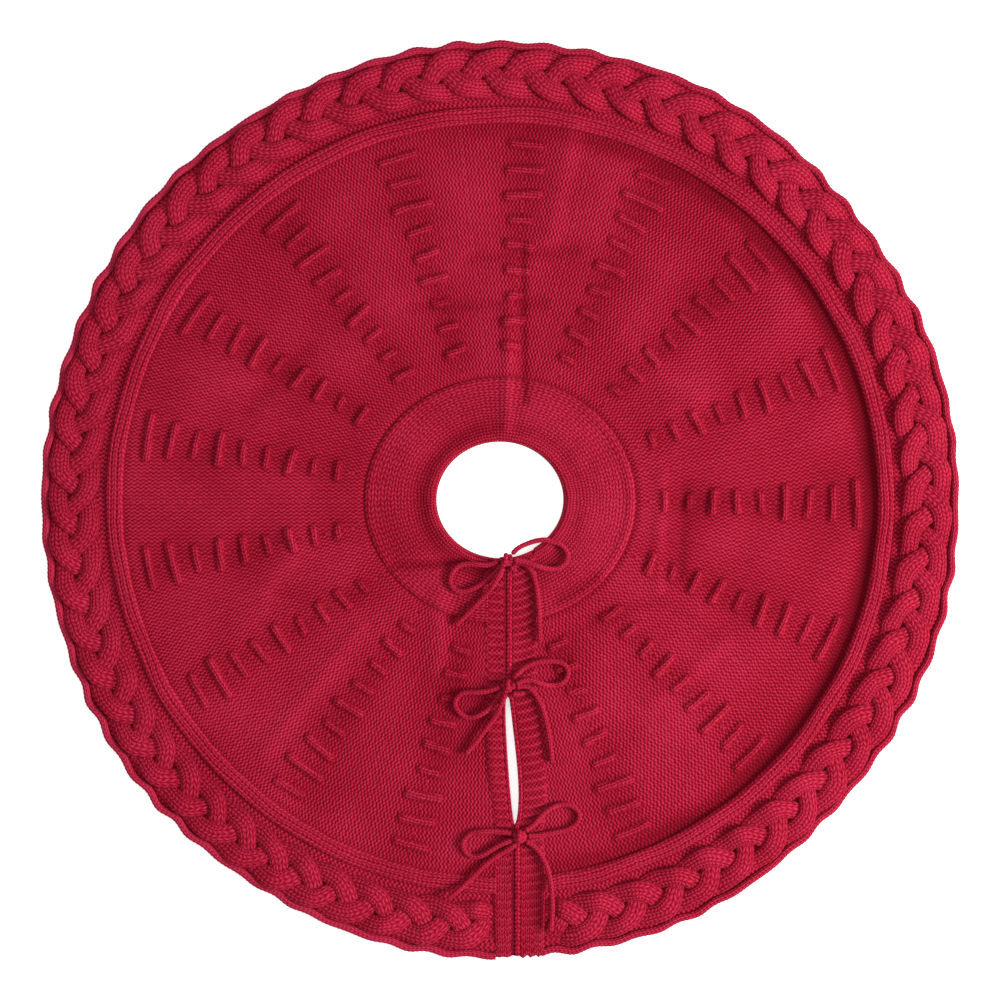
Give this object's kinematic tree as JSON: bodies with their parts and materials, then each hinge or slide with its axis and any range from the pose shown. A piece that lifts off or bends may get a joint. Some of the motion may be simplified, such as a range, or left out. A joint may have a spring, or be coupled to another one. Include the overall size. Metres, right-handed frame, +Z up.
{
  "type": "tree skirt",
  "caption": "Round knitted tree skirt with a trunk hole, a front slit tied by bows, gored panels, a raised welt and a cable border.",
  "frame": {"origin": "middle of the skirt, on the floor it lies on", "axes": "+Z up, -Y towards the slit and the bows at the front, +X to the right seen from the front"},
  "size_m": [1.22, 1.2198, 0.0254],
  "materials": {
    "gore_knit": "matt wool-like yarn, purl side out",
    "collar_knit": "matt wool-like yarn, fine plain knit",
    "welt_knit": "matt wool-like yarn, raised ridges",
    "cable_knit": "matt wool-like yarn, plaited cables",
    "edge_knit": "matt wool-like yarn, chain stitch",
    "placket_rib": "matt wool-like yarn, fine rib",
    "tie_cord": "matt wool-like yarn, round knitted cord"
  },
  "bodies": {
    "back": {"gore_04": "gore_knit", "gore_05": "gore_knit", "gore_06": "gore_knit", "gore_07": "gore_knit", "gore_08": "gore_knit", "gore_09": "gore_knit", "gore_10": "gore_knit", "gore_11": "gore_knit", "gore_12": "gore_knit", "gore_13": "gore_knit", "collar_back": "collar_knit", "welt_back": "welt_knit", "cable_border_back": "cable_knit", "edge_trim_back": "edge_knit"},
    "right_flap": {"gore_01": "gore_knit", "gore_02": "gore_knit", "gore_03": "gore_knit", "collar_right": "collar_knit", "welt_right": "welt_knit", "cable_border_right": "cable_knit", "edge_trim_right": "edge_knit", "placket_right": "placket_rib", "slit_edge_right": "edge_knit", "tie_top_right_loop": "tie_cord", "tie_top_right_tail": "tie_cord", "tie_top_right_root": "tie_cord", "tie_middle_right_loop": "tie_cord", "tie_middle_right_tail": "tie_cord", "tie_middle_right_root": "tie_cord", "tie_bottom_right_loop": "tie_cord", "tie_bottom_right_tail": "tie_cord"},
    "left_flap": {"gore_14": "gore_knit", "gore_15": "gore_knit", "gore_16": "gore_knit", "collar_left": "collar_knit", "welt_left": "welt_knit", "cable_border_left": "cable_knit", "edge_trim_left": "edge_knit", "placket_left": "placket_rib", "slit_edge_left": "edge_knit", "tie_top_left_loop": "tie_cord", "tie_top_left_tail": "tie_cord", "tie_middle_left_loop": "tie_cord", "tie_middle_left_tail": "tie_cord", "tie_bottom_left_loop": "tie_cord", "tie_bottom_left_tail": "tie_cord", "knot_top": "tie_cord", "knot_middle": "tie_cord", "knot_bottom": "tie_cord"}
  },
  "joints": [
    {"name": "right_flap_fold", "type": "hinge", "parent": "back", "child": "right_flap", "pos_m": [0.3388, -0.0702, 0.016], "axis": [-0.9792, 0.2028, 0], "range_deg": [0, 160], "deforming": ["knot_top", "knot_middle", "knot_bottom"]},
    {"name": "left_flap_fold", "type": "hinge", "parent": "back", "child": "left_flap", "pos_m": [-0.3217, -0.1275, 0.016], "axis": [-0.9296, -0.3685, 0], "range_deg": [0, 160]}
  ]
}
